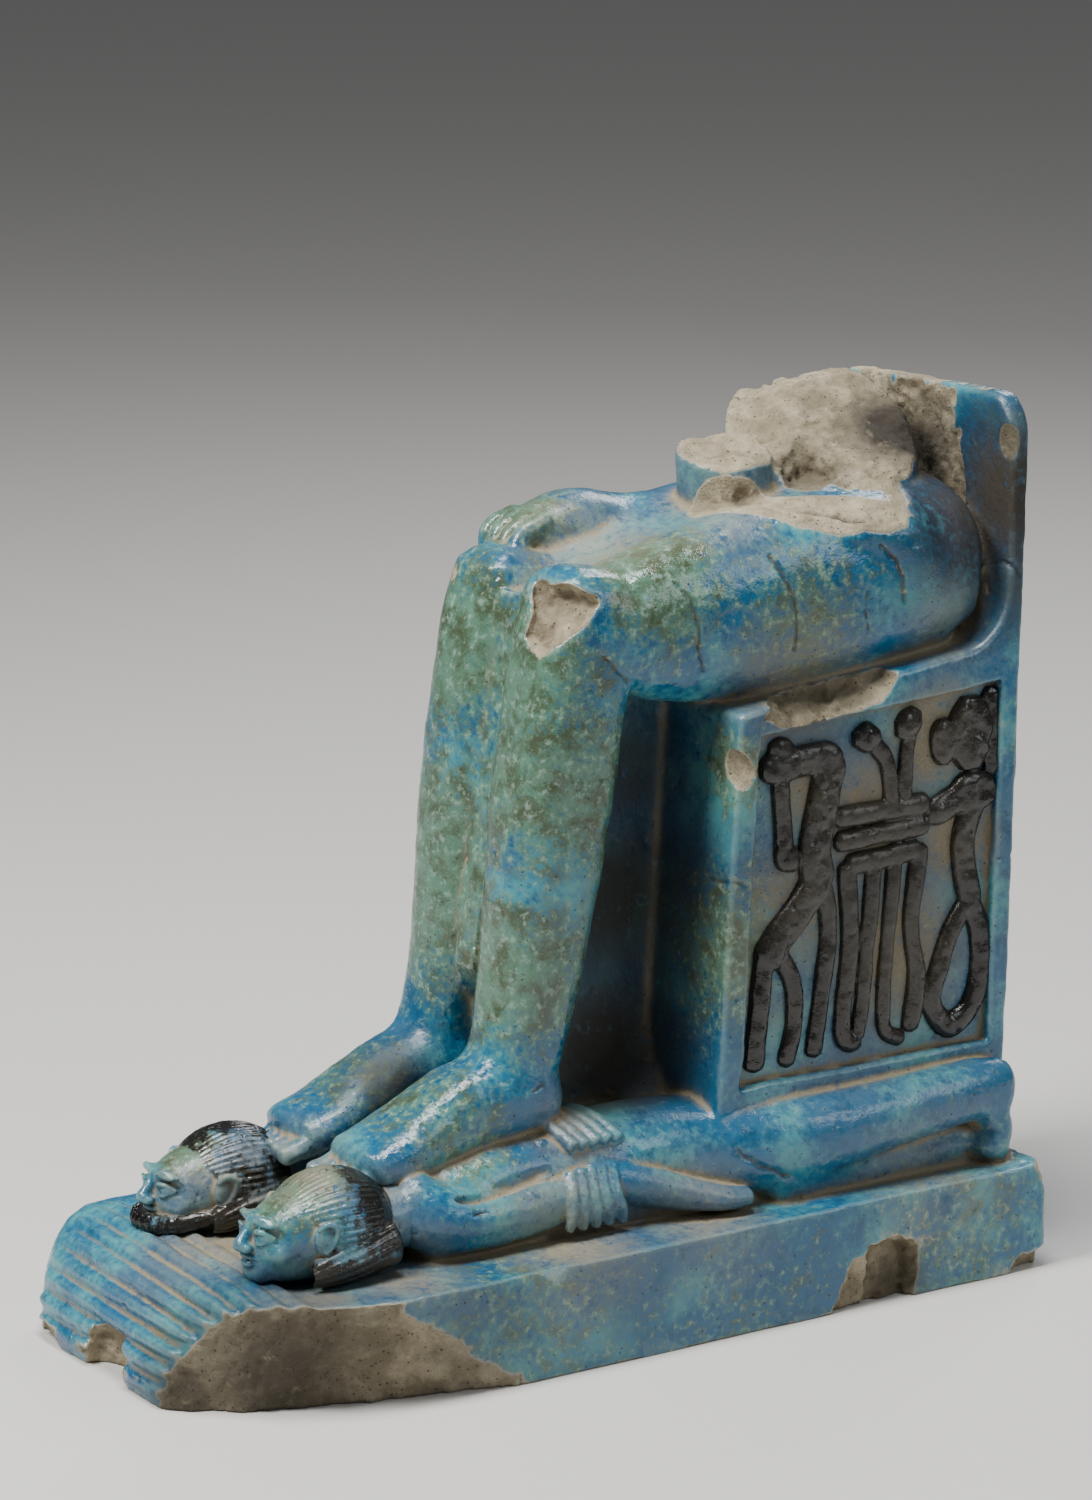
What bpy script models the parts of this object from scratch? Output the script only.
"""Broken faience statuette of a seated figure on a block throne, over two bound captives.

The real thing was pressed and carved as one piece, plinth included, so it is one solid here.
Every form is made as a rough closed shape, the shapes are fused by a voxel remesh, and the
result is thinned to a few thousand faces. Lengths are in millimetres until the mesh is written.
"""

import math

import bmesh
import bpy
from mathutils import Vector

MM = 0.001

# Driving dimensions, in millimetres
PLINTH_WIDTH = 116.0
PLINTH_LENGTH = 260.0
PLINTH_HEIGHT = 30.0
NOSE_REACH = 22.0
CORNER_WIDTH = 14.0
CORNER_SETBACK = 9.0
RIB_COUNT = 9
RIB_HEIGHT = 1.3
RIBBED_TOP = 11.0
THRONE_WIDTH = 80.0
THRONE_DEPTH = 92.0
SEAT_HEIGHT = 135.0
SEAT_RISE = 8.0
FRONT_LEAN = 8.0
BACK_LEAN = 5.0
BACK_RISE = 77.0
BACK_THICKNESS = 6.5
BACK_CORNER_RADIUS = 8.0
PILLAR_WIDTH = 60.0
PILLAR_DEPTH = 9.5
PILLAR_DROP = 38.0
PANEL_DEPTH = 3.6
PANEL_STILE = 7.5
PANEL_BACK_STILE = 6.5
PANEL_RAIL = 6.5
PANEL_SILL = 32.0
RELIEF_HEIGHT = 3.4
EDGE_ROUND = 1.8

# How fine the fused surface is
VOXEL = 1.15
TRIANGLES = 9200

# Places worked out from the driving dimensions
PLINTH_FRONT = -PLINTH_LENGTH / 2
PLINTH_BACK = PLINTH_LENGTH / 2
THRONE_BACK = PLINTH_BACK
THRONE_FRONT = THRONE_BACK - THRONE_DEPTH
THRONE_SIDE = THRONE_WIDTH / 2
SEAT_Z = PLINTH_HEIGHT + SEAT_HEIGHT
TOP_Z = SEAT_Z + BACK_RISE
BURIED = 3.0

# The free forms are drawn in this frame and then stretched to the dimensions above,
# so that the figure stays seated and the captives stay under its feet.
DRAWN_X = (-58.0, -40.0, 40.0, 58.0)
DRAWN_Y = (-130.0, 38.0, 130.0)
DRAWN_Z = (0.0, 30.0, 165.0, 242.0)
REAL_X = (-PLINTH_WIDTH / 2, -THRONE_SIDE, THRONE_SIDE, PLINTH_WIDTH / 2)
REAL_Y = (PLINTH_FRONT, THRONE_FRONT, THRONE_BACK)
REAL_Z = (0.0, PLINTH_HEIGHT, SEAT_Z, TOP_Z)

for old in list(bpy.data.objects):
    bpy.data.objects.remove(old, do_unlink=True)


# Mesh helpers


def stretched(value, drawn, real):
    """Carries a drawn coordinate to the real one, span by span, and on past both ends."""
    span = 0
    while span < len(drawn) - 2 and value > drawn[span + 1]:
        span += 1
    share = (value - drawn[span]) / (drawn[span + 1] - drawn[span])
    return real[span] + share * (real[span + 1] - real[span])


def placed(point):
    """A point of the figure or of a captive, moved from the drawing to its real place."""
    return Vector(
        (
            stretched(point[0], DRAWN_X, REAL_X),
            stretched(point[1], DRAWN_Y, REAL_Y),
            stretched(point[2], DRAWN_Z, REAL_Z),
        )
    )


def mirrored(stations, side):
    """The same stations on the figure's left (side 1) or right (side -1)."""
    return [(station[0] * side, *station[1:]) for station in stations]


def closed_loft(rings):
    """Joins rings of equal length into one closed bmesh with flat caps."""
    shape = bmesh.new()
    loops = [[shape.verts.new(point) for point in ring] for ring in rings]
    count = len(rings[0])
    for lower, upper in zip(loops, loops[1:]):
        for i in range(count):
            j = (i + 1) % count
            shape.faces.new((lower[i], lower[j], upper[j], upper[i]))
    shape.faces.new(list(reversed(loops[0])))
    shape.faces.new(loops[-1])
    bmesh.ops.recalc_face_normals(shape, faces=shape.faces)
    return shape


def section(centre, across, along, power, count=20):
    """A superellipse ring: power 2 is an ellipse, and more than 2 is boxier."""
    ring = []
    for i in range(count):
        angle = 2 * math.pi * i / count
        c, s = math.cos(angle), math.sin(angle)
        u = math.copysign(abs(c) ** (2 / power), c)
        v = math.copysign(abs(s) ** (2 / power), s)
        ring.append(centre + across * u + along * v)
    return ring


# The rounded end of a limb: how far each ring stands out, and its share of the size
CAP = ((0.4, 0.8), (0.62, 0.45))


def limb(stations, side=(1.0, 0.0, 0.0), power=2.3, free=True, count=20):
    """A lofted limb with round ends, through (x, y, z, half width, half depth) stations.

    The half width is measured along side, and the half depth square to side and to the path.
    """
    side = Vector(side).normalized()
    centres = [Vector(station[:3]) for station in stations]
    rings = []
    for i, station in enumerate(stations):
        ahead = centres[min(i + 1, len(centres) - 1)]
        behind = centres[max(i - 1, 0)]
        path = (ahead - behind).normalized()
        across = (side - path * side.dot(path)).normalized()
        wide = across * station[3]
        deep = path.cross(across) * station[4]
        ring = section(centres[i], wide, deep, power, count)
        if i not in (0, len(stations) - 1):
            rings.append(ring)
            continue
        outward = path if i else -path
        reach = min(station[3], station[4])
        cap = [section(centres[i] + outward * out * reach, wide * size, deep * size, power, count)
               for out, size in CAP]
        rings += [ring] + cap if i else cap[::-1] + [ring]
    if free:
        rings = [[placed(point) for point in ring] for ring in rings]
    return closed_loft(rings)


def prism(outline, low_x, high_x, rounding=0.0, segments=2):
    """An outline in the YZ plane pushed along X, with its edges rounded."""
    rings = [[Vector((x, y, z)) for y, z in outline] for x in (low_x, high_x)]
    shape = closed_loft(rings)
    if rounding:
        bmesh.ops.bevel(shape, geom=shape.edges[:], offset=rounding, segments=segments,
                        affect="EDGES", profile=0.5, clamp_overlap=True)
    return shape


def ball(centre, radii, tilt=0.0, detail=3):
    """An ellipsoid with the given half sizes as drawn, tipped about X."""
    shape = bmesh.new()
    bmesh.ops.create_icosphere(shape, subdivisions=detail, radius=1.0)
    cos_tilt, sin_tilt = math.cos(tilt), math.sin(tilt)
    for vert in shape.verts:
        x, y, z = (vert.co[i] * radii[i] for i in range(3))
        tipped = Vector((x, y * cos_tilt - z * sin_tilt, y * sin_tilt + z * cos_tilt))
        vert.co = placed(tipped + Vector(centre))
    return shape


def sliced(shape, point, normal):
    """Breaks off everything on the outer side of a plane and closes the break."""
    cut = bmesh.ops.bisect_plane(shape, geom=shape.verts[:] + shape.edges[:] + shape.faces[:],
                                 plane_co=Vector(point), plane_no=Vector(normal), clear_outer=True)
    rim = [item for item in cut["geom_cut"] if isinstance(item, bmesh.types.BMEdge)]
    if rim:
        bmesh.ops.holes_fill(shape, edges=rim, sides=0)
    bmesh.ops.recalc_face_normals(shape, faces=shape.faces)
    return shape


def mesh_object(name, shape):
    """Puts a bmesh drawn in millimetres into the scene, in metres."""
    mesh = bpy.data.meshes.new(name)
    bmesh.ops.scale(shape, vec=(MM, MM, MM), verts=shape.verts)
    shape.to_mesh(mesh)
    shape.free()
    result = bpy.data.objects.new(name, mesh)
    bpy.context.scene.collection.objects.link(result)
    return result


def evaluated_mesh(thing):
    """The mesh of an object with its modifiers applied."""
    graph = bpy.context.evaluated_depsgraph_get()
    return bpy.data.meshes.new_from_object(thing.evaluated_get(graph))


def cut_away(thing, cutters):
    """Adds one Boolean per closed cutter shape to an object, and returns the cutter objects."""
    tools = []
    for i, cutter in enumerate(cutters):
        tool = mesh_object(f"{thing.name}_cutter_{i}", cutter)
        tool.hide_render = True
        tool.display_type = "WIRE"
        cut = thing.modifiers.new(f"cut_{i}", "BOOLEAN")
        cut.operation = "DIFFERENCE"
        cut.object = tool
        tools.append(tool)
    return tools


def hollowed(shape, cutters):
    """Cuts closed shapes out of a shape and gives the result back as a bmesh."""
    thing = mesh_object("blank", shape)
    tools = cut_away(thing, cutters)
    result = bmesh.new()
    result.from_mesh(evaluated_mesh(thing))
    bmesh.ops.scale(result, vec=(1 / MM, 1 / MM, 1 / MM), verts=result.verts)
    for used in (*tools, thing):
        bpy.data.objects.remove(used, do_unlink=True)
    return result


# Plinth


def nose_curve(turn):
    """The rounded front of the plinth: turn 0 is its foot, and 1 is where the flat top starts."""
    bulge = 1.85
    angle = turn * math.pi / 2
    y = PLINTH_FRONT + NOSE_REACH * (1 - math.cos(angle) ** (2 / bulge))
    z = PLINTH_HEIGHT * math.sin(angle) ** (2 / bulge)
    return y, z


def nose_at(share):
    """A point of the ribbed band by its share of the way from the foot to the last rib."""
    steps = 24
    path = [nose_curve(i / steps) for i in range(steps + 1)]
    path.append((PLINTH_FRONT + NOSE_REACH + RIBBED_TOP, PLINTH_HEIGHT))
    lengths = [math.dist(a, b) for a, b in zip(path, path[1:])]
    left = share * sum(lengths)
    for (start, end), length in zip(zip(path, path[1:]), lengths):
        if left <= length:
            t = left / length
            return start[0] + t * (end[0] - start[0]), start[1] + t * (end[1] - start[1])
        left -= length
    return path[-1]


# The lost near front corner, and the back one: a point on each break as drawn, and its normal
CORNER_BREAKS = [
    ((38.0, -112.0, 8.0), (0.76, -0.63, -0.12)),
    ((58.0, -66.0, 19.0), (0.9, -0.27, -0.34)),
    ((54.5, 130.0, 29.0), (0.66, 0.62, 0.42)),
]


def make_plinth():
    """The slab under everything, its far front corner rounded and its near one broken away."""
    steps = 10
    outline = [nose_curve(i / steps) for i in range(steps + 1)]
    outline += [(PLINTH_BACK, PLINTH_HEIGHT), (PLINTH_BACK, -BURIED), (PLINTH_FRONT, -BURIED)]
    edge = PLINTH_WIDTH / 2
    slab = prism(outline, -edge, edge, EDGE_ROUND / 2, segments=1)
    far_side = (-edge, PLINTH_FRONT + CORNER_SETBACK, 0)
    slab = sliced(slab, far_side, (-CORNER_SETBACK, -CORNER_WIDTH, 0))
    nearer_side = (-edge, PLINTH_FRONT + 2 * CORNER_SETBACK, 0)
    slab = sliced(slab, nearer_side, (-CORNER_WIDTH, -CORNER_SETBACK / 2, 0))
    for point, normal in CORNER_BREAKS:
        slab = sliced(slab, placed(point), normal)
    return [slab]


def make_nose_ribs():
    """Low ribs across the front, stopping short of the broken corner."""
    ribs = []
    edge = PLINTH_WIDTH / 2
    for i in range(RIB_COUNT):
        share = 0.1 + 0.88 * i / (RIB_COUNT - 1)
        y, z = nose_at(share)
        ends = (-edge + 3 + CORNER_WIDTH * 0.6 * (1 - share), edge * (0.48 + 0.31 * share))
        stations = [(x, y, z, 1.9, RIB_HEIGHT) for x in (ends[0], sum(ends) / 2, ends[1])]
        ribs.append(limb(stations, side=(0.0, 0.5, 0.7), power=2.0, free=False, count=10))
    return ribs


# Throne


def throne_front_at(z):
    """The throne's front face leans back as it rises."""
    return THRONE_FRONT - FRONT_LEAN * (1 - (z - PLINTH_HEIGHT) / SEAT_HEIGHT)


def throne_back_at(z):
    """The throne's back leans the same way, up to the top of the low back."""
    return THRONE_BACK + BACK_LEAN * ((z - PLINTH_HEIGHT) / (TOP_Z - PLINTH_HEIGHT) - 0.3)


def make_throne():
    """The block seat with its low back, a curved rise between them, and a sunk panel each side."""
    seat_back = SEAT_Z + SEAT_RISE
    back_front = throne_back_at(TOP_Z) - BACK_THICKNESS
    foot = PLINTH_HEIGHT - BURIED
    outline = [
        (throne_front_at(foot), foot),
        (THRONE_FRONT, SEAT_Z),
        (back_front - 12, seat_back),
        (back_front - 4, seat_back + 4),
        (back_front - 0.5, seat_back + 13),
        (back_front, TOP_Z),
        (throne_back_at(TOP_Z), TOP_Z),
        (throne_back_at(foot), foot),
    ]
    block = prism(outline, -THRONE_SIDE, THRONE_SIDE, EDGE_ROUND)
    for side in (-1, 1):
        corner = (side * (THRONE_SIDE - BACK_CORNER_RADIUS * 0.7), 0, TOP_Z)
        block = sliced(block, corner, (side * 0.6, 0, 0.8))
        corner = (side * (THRONE_SIDE - BACK_CORNER_RADIUS * 0.2), 0, TOP_Z - BACK_CORNER_RADIUS * 0.6)
        block = sliced(block, corner, (side * 0.88, 0, 0.47))
    block = sliced(block, (0, 0, TOP_Z - 0.8), (-0.045, 0, 1))
    sill = PLINTH_HEIGHT + PANEL_SILL
    front_head = SEAT_Z - PANEL_RAIL
    back_head = front_head + SEAT_RISE * 0.65
    panel = [
        (throne_front_at(sill) + PANEL_STILE, sill),
        (throne_front_at(front_head) + PANEL_STILE, front_head),
        (throne_back_at(back_head) - PANEL_BACK_STILE, back_head),
        (throne_back_at(sill) - PANEL_BACK_STILE, sill),
    ]
    cutters = []
    for side in (-1, 1):
        inner = side * (THRONE_SIDE - PANEL_DEPTH)
        outer = side * (THRONE_SIDE + BURIED)
        cutters.append(prism(panel, min(inner, outer), max(inner, outer)))
    return [hollowed(block, cutters)]


def make_back_pillar():
    """The pillar down the middle of the back, lost below a ragged end."""
    low = SEAT_Z - PILLAR_DROP
    inside = throne_back_at(low) - BURIED
    outline = [
        (inside, low + 3),
        (inside, TOP_Z - 1),
        (throne_back_at(TOP_Z) + PILLAR_DEPTH * 0.3, TOP_Z - 2),
        (throne_back_at(SEAT_Z + 33) + PILLAR_DEPTH * 0.4, SEAT_Z + 33),
        (throne_back_at(SEAT_Z + 24) + PILLAR_DEPTH, SEAT_Z + 24),
        (throne_back_at(low + 9) + PILLAR_DEPTH, low + 9),
        (throne_back_at(low) + PILLAR_DEPTH * 0.6, low),
    ]
    return [prism(outline, -PILLAR_WIDTH / 2, PILLAR_WIDTH / 2, EDGE_ROUND)]


# The throne's side relief: each stroke is a half width and its points (y, z) as drawn
STROKES = [
    (4.2, [(49.5, 148.5), (60, 149), (69.5, 149)]),
    (3.0, [(51.5, 153.5), (55, 153)]),
    (4.8, [(69.5, 147), (67, 137), (64.5, 124), (65.5, 116)]),
    (4.4, [(65.5, 116), (59.5, 108), (53, 101.5), (49, 96)]),
    (2.7, [(53, 144), (54, 133), (54.5, 124)]),
    (3.6, [(54.5, 124), (56.5, 122)]),
    (2.9, [(48, 95), (46.5, 81), (45, 67.5)]),
    (2.6, [(51.5, 98.5), (57.5, 89), (58.5, 77), (56, 67)]),
    (2.6, [(66.5, 116), (69.5, 103), (67.5, 84), (65, 68)]),
    (4.0, [(80, 153), (82.5, 153)]),
    (2.5, [(84, 151), (88.5, 145), (90.5, 134)]),
    (3.8, [(96.5, 156.5), (94.5, 153.5)]),
    (2.4, [(96.5, 154), (95, 146), (94.5, 135)]),
    (2.8, [(73.5, 131.8), (88, 132), (100.5, 132)]),
    (2.8, [(73.5, 125.2), (88, 125.6), (100.5, 126.2)]),
    (2.8, [(77, 118.3), (88, 118.8), (98, 119.5)]),
    (2.7, [(75.5, 117), (76.8, 97), (75, 80), (75, 70), (79, 67.5)]),
    (2.3, [(84.5, 117), (82.8, 97), (81.5, 82), (80, 70)]),
    (2.2, [(91.5, 117), (89.8, 97), (88.5, 82), (89, 70), (94, 66.8)]),
    (2.6, [(100, 119), (97.5, 100), (99.5, 84), (97.5, 70)]),
    (6.3, [(116.5, 155), (116.5, 145)]),
    (2.8, [(123.5, 160), (124.5, 148), (124.5, 139)]),
    (3.6, [(107, 152), (107.5, 145)]),
    (3.8, [(105, 129), (114, 132.5)]),
    (5.2, [(114, 133), (122, 133.5)]),
    (3.6, [(119, 132), (115, 121), (115.5, 112), (117.5, 103)]),
    (2.9, [(117.5, 103), (111.5, 95), (107, 84), (105, 75), (109.5, 67.5)]),
    (3.2, [(117.5, 102), (121, 93), (121.5, 81), (117.5, 71), (110.5, 67)]),
]


def make_relief():
    """Raised strokes in the sunk panels, the same on both sides."""
    strokes = []
    floor = THRONE_SIDE - PANEL_DEPTH
    for side in (-1, 1):
        for half_width, points in STROKES:
            stations = []
            for y, z in points:
                place = placed((0, y, z))
                stations.append((side * floor, place.y, place.z, RELIEF_HEIGHT, half_width))
            strokes.append(limb(stations, power=2.2, free=False, count=10))
    return strokes


# The figure, as far as it survives

# Everything above these planes is lost: a point on each as drawn, and its outward normal
TORSO_BREAKS = [
    ((-18.0, 100.0, 238.5), (0.44, -0.08, 0.89)),
    ((-22.0, 110.0, 241.0), (-0.06, -0.16, 0.98)),
    ((-22.0, 86.0, 234.0), (0.16, -0.52, 0.84)),
]
STUMP_BREAK = ((-5.0, 62.0, 226.5), (0.28, -0.08, 0.95))
SHIN = [
    (17.3, 0.5, 197, 13.5, 12.5),
    (17.3, -1.5, 180, 14.2, 15),
    (17.3, -6.5, 148, 14.2, 15),
    (17.3, -11, 118, 13.6, 13.6),
    (17.3, -15.3, 91, 12.0, 12),
    (17.3, -19.5, 74, 11, 11.5),
    (17, -21, 64, 11.5, 13),
]
THIGH = [
    (17, -1, 186, 13.5, 12.5),
    (17.5, 10, 187.5, 15, 17),
    (18.5, 35, 188.5, 16.5, 23),
    (19.5, 65, 191.5, 18, 24.5),
    (20, 95, 194, 18.5, 23),
    (20, 114, 195, 17.5, 20),
]
FOOT = [
    (16.5, -14, 64, 10, 7),
    (16.5, -22, 65, 11.5, 10),
    (16.5, -33, 64, 12, 11.5),
    (16.5, -45, 60, 12.5, 10),
    (16.5, -57, 56, 13.5, 7.5),
    (16.5, -66, 54, 13.5, 6),
]
KILT = [
    (0, -2, 187, 24, 9),
    (0, 20, 190, 27, 13),
    (0, 50, 194, 29, 18),
    (0, 90, 198, 30, 20),
    (0, 116, 199, 31, 20),
]
SEAT_BEDDING = [(0, 46, 172, 27, 9), (0, 112, 179, 30, 9)]


def make_legs():
    """Shins, feet with toes, and thighs under a kilt, bedded on the seat."""
    forms = [limb(KILT, power=2.6), limb(SEAT_BEDDING, power=3.0)]
    for side in (-1, 1):
        forms.append(limb(mirrored(SHIN, side), power=2.9))
        forms.append(limb(mirrored(THIGH, side), power=2.4))
        forms.append(limb(mirrored(FOOT, side), power=2.5))
        for i in range(5):
            x = side * (7.5 + 4.3 * i)
            length = (9, 8.6, 7.6, 6.2, 4.4)[i]
            thick = 3.1 if i == 0 else 2.3
            toe = [(x, -66, 52.5, thick, 3.4), (x, -66 - length, 50.5, thick, 2.6)]
            forms.append(limb(toe, power=2.2, count=12))
    return forms


def make_web():
    """The wall left in the clay between the legs and back to the throne."""
    front = [(-9, 197), (-13, 168), (-20, 128), (-24, 97), (-21, 91), (-17, 86), (-16, 70), (-16, 40)]
    outline = [(placed((0, y, z)).y, placed((0, y, z)).z) for y, z in front]
    outline += [(THRONE_FRONT + BURIED, PLINTH_HEIGHT + 8), (THRONE_FRONT + BURIED, SEAT_Z + 12)]
    foot = [(0, 30, 50, 20, 13), (0, 36, 62, 10, 9)]
    return [prism(outline, -4.5, 4.5), limb(foot, power=2.0)]


def make_body():
    """What is left of the waist with both forearms, broken off along slanting planes."""
    forms = [
        limb([(-5, 95, 190, 31, 25), (-6, 96, 215, 29, 24), (-8, 97, 232, 27, 24), (-9, 99, 252, 26, 23)]),
        limb([(25, 99, 198, 13, 13), (29, 95, 204, 9, 10), (28, 80, 210, 8, 9), (20, 63, 211, 9, 9),
              (4, 57, 212, 10, 10)], side=(0, 0, 1)),
        ball((20, 97, 199), (18, 15, 19)),
        limb([(-30, 104, 198, 10, 12), (-31, 84, 202, 9, 9), (-26, 58, 203.5, 8, 7)], side=(0, 0, 1)),
    ]
    for point, normal in TORSO_BREAKS:
        forms = [sliced(form, placed(point), normal) for form in forms]
    forms[0] = hollowed(forms[0], [ball((9, 81, 223), (9, 7, 12))])
    stump = limb([(-5, 67, 204, 13, 14), (-5, 64, 218, 12, 13), (-5, 62, 240, 11, 12)])
    point, normal = STUMP_BREAK
    return forms + [sliced(stump, placed(point), normal)]


def make_fist():
    """The right hand, closed on the right thigh."""
    hand = [(-24, 56, 203.5, 9, 7), (-23, 40, 206.5, 10, 8), (-22, 24, 208.5, 11, 9),
            (-22, 11, 205.5, 10, 8.5)]
    forms = [limb(hand)]
    for i in range(4):
        x = -29.5 + 5.0 * i
        forms.append(limb([(x, 12, 211, 2.6, 3), (x, 4, 207.5, 2.6, 3), (x, 3, 200, 2.5, 3)], count=10))
    return forms


# The captives, drawn for the near side

TORSO = [
    (23, -62, 40, 9, 8),
    (22, -52, 41, 13, 11),
    (22, -38, 42, 14, 12.5),
    (22, -10, 43, 15, 14),
    (24, 20, 43.5, 15, 14.5),
    (31, 38, 44, 14, 14),
    (38, 55, 45, 12, 12.5),
    (42, 72, 47, 10, 10.5),
    (43.5, 95, 49, 8.5, 9),
    (44.5, 112, 50.5, 7.5, 8.5),
    (45, 122, 50.5, 6.5, 8),
]
UPPER_ARM = [
    (28, -56, 43, 9, 9),
    (34, -50, 40, 7.5, 8),
    (36, -34, 38.5, 6.5, 7),
    (35.5, -16, 40, 6, 6.5),
    (33, -5, 44, 6, 6.5),
]
FOREARM = [
    (33, -4, 44, 5.5, 6),
    (38, 8, 40, 5, 5.5),
    (42, 22, 36, 4.5, 4.5),
    (44, 30, 34.5, 5.5, 3.6),
    (45, 37, 34, 4.5, 2.8),
]


HEEL = [(45, 118, 47, 6, 6), (46, 120, 40, 5.5, 5), (46.5, 118, 34, 5.5, 5.5)]
BEDDING = [(37, 50, 34, 10, 6), (39, 100, 34, 7, 7), (39, 124, 34, 7, 7)]
ARM_BEDDING = [(29, -54, 34, 8, 5.5), (31, -15, 34, 6.5, 6), (36, 25, 34, 5, 4.5)]


def make_captive(side):
    """One bound captive, face down along the plinth, its legs beside the throne."""
    forms = [
        limb(mirrored(TORSO, side)),
        limb(mirrored(UPPER_ARM, side), power=2.2, count=14),
        limb(mirrored(FOREARM, side), power=2.2, count=14),
        limb(mirrored(HEEL, side), count=14),
        limb(mirrored(BEDDING, side), power=2.6, count=12),
        limb(mirrored(ARM_BEDDING, side), power=2.6, count=12),
    ]
    return forms + make_captive_head(side) + make_rope(side)


def make_captive_head(side):
    """A calm, plain head: skull, brow, nose, lips, chin, hair cap and side locks."""
    x = side * 26
    z = 0 if side > 0 else -1.6
    forms = [
        ball((x, -90, 42 + z), (14.5, 18, 13.5)),
        ball((x, -82, 43.5 + z), (16.5, 17.5, 14.5)),
        ball((x, -103.5, 48 + z), (9.5, 4.0, 2.6)),
        ball((x, -108, 43.4 + z), (2.4, 2.8, 4.6), tilt=-0.35),
        ball((x, -107, 37.4 + z), (5.0, 2.8, 2.2)),
        ball((x, -103.5, 33.2), (7.0, 5.5, 4.0)),
        ball((x, -84, 33.5), (15.0, 17.0, 5.5)),
        limb([(x, -72, 40, 11, 9), (x, -58, 42, 11, 9)]),
    ]
    for turn in (-1, 1):
        lock_x = x + turn * 14.5
        lock = [(lock_x, -70, 40, 4, 7), (lock_x + turn, -83, 37, 4, 6.5), (lock_x + turn, -95, 34, 3.4, 4.4)]
        forms.append(limb(lock))
    if side < 0:
        beard = [(x - 9, -97, 33, 3, 4), (x - 4, -107, 32.5, 3.4, 4.2), (x + 4, -107, 32.5, 3.4, 4.2),
                 (x + 9, -97, 33, 3, 4)]
        forms.append(limb(beard, side=(0, 0, 1)))
    return forms


def make_rope(side):
    """The cord round the elbows and its ends hanging down the flank as a tassel."""
    forms = []
    for i in range(5):
        y = -15 + 3.6 * i
        turn = []
        for x in (10, 17, 24, 30, 34.5):
            turn.append((side * x, y + 0.12 * (x - 20), 43 + 14.4 * math.cos((x - 22) / 15.5), 1.7, 1.3))
        forms.append(limb(turn, side=(0, 1, 0), power=2.0, count=8))
    for i in range(4):
        y = -15.5 + 4.0 * i
        end = [(side * 38, y, 47, 1.9, 2.2), (side * 41.5, y, 41, 1.9, 2.2), (side * 41.5, y, 34.5, 1.9, 2.0)]
        forms.append(limb(end, side=(0, 1, 0), power=2.0, count=8))
    return forms


def make_ground():
    """The clay left low between the captives and under the feet."""
    middle = [(0, -58, 35, 15, 9), (0, -30, 37, 16, 11), (0, 20, 40, 18, 14), (0, 36, 42, 20, 15)]
    return [limb(middle, power=2.6)]


# Chips out of the edges as drawn: centre and half sizes
CHIPS = [
    ((-7, -129, 3), (11, 7, 10)),
    ((-42, -131, 0), (9, 6, 5)),
    ((62, 72, 4), (9, 16, 15)),
    ((60, 128, 0), (6, 10, 6)),
    ((41, 36, 153), (4.5, 5, 5)),
    ((42, 62, 168.5), (9, 19, 6.5)),
    ((20, -17, 193), (10, 6.5, 9)),
    ((-28, -16, 199), (8, 6.5, 5)),
]


def make_chips():
    """Cutters for the small losses along the edges."""
    return [ball(centre, radii, detail=2) for centre, radii in CHIPS]


def make_ground_cutter():
    """Everything below the ground, so that the fused body ends in a flat underside."""
    margin = 20.0
    low = -BURIED - margin
    outline = [
        (PLINTH_FRONT - margin, low),
        (PLINTH_FRONT - margin, 0.0),
        (PLINTH_BACK + margin, 0.0),
        (PLINTH_BACK + margin, low),
    ]
    reach = PLINTH_WIDTH / 2 + margin
    return [prism(outline, -reach, reach)]


# Fusing


def fused(name, shapes):
    """Joins closed shapes, fuses them into one skin and thins it where it is flat."""
    whole = bmesh.new()
    for shape in shapes:
        piece = bpy.data.meshes.new("piece")
        shape.to_mesh(piece)
        shape.free()
        whole.from_mesh(piece)
        bpy.data.meshes.remove(piece)
    body = mesh_object(name, whole)
    skin = body.modifiers.new("fuse", "REMESH")
    skin.mode = "VOXEL"
    skin.voxel_size = VOXEL * MM
    soften = body.modifiers.new("soften", "SMOOTH")
    soften.factor = 0.5
    soften.iterations = 2
    dense = evaluated_mesh(body)
    dense.calc_loop_triangles()
    thin = body.modifiers.new("thin", "DECIMATE")
    thin.ratio = TRIANGLES / len(dense.loop_triangles)
    bpy.data.meshes.remove(dense)
    return body


def faience():
    """Glossy blue-green glaze."""
    material = bpy.data.materials.new("blue_faience")
    material.use_nodes = True
    shader = material.node_tree.nodes["Principled BSDF"]
    shader.inputs["Base Color"].default_value = (0.05, 0.30, 0.42, 1.0)
    shader.inputs["Roughness"].default_value = 0.28
    shader.inputs["Metallic"].default_value = 0.0
    return material


def make_statuette():
    """The whole figure with its throne, captives and plinth, as one solid."""
    shapes = make_plinth() + make_nose_ribs() + make_throne() + make_back_pillar() + make_relief()
    shapes += make_legs() + make_web() + make_body() + make_fist() + make_ground()
    for side in (-1, 1):
        shapes += make_captive(side)
    statuette = fused("statuette", shapes)
    cut_away(statuette, make_chips() + make_ground_cutter())
    statuette.data.materials.append(faience())
    return statuette


make_statuette()
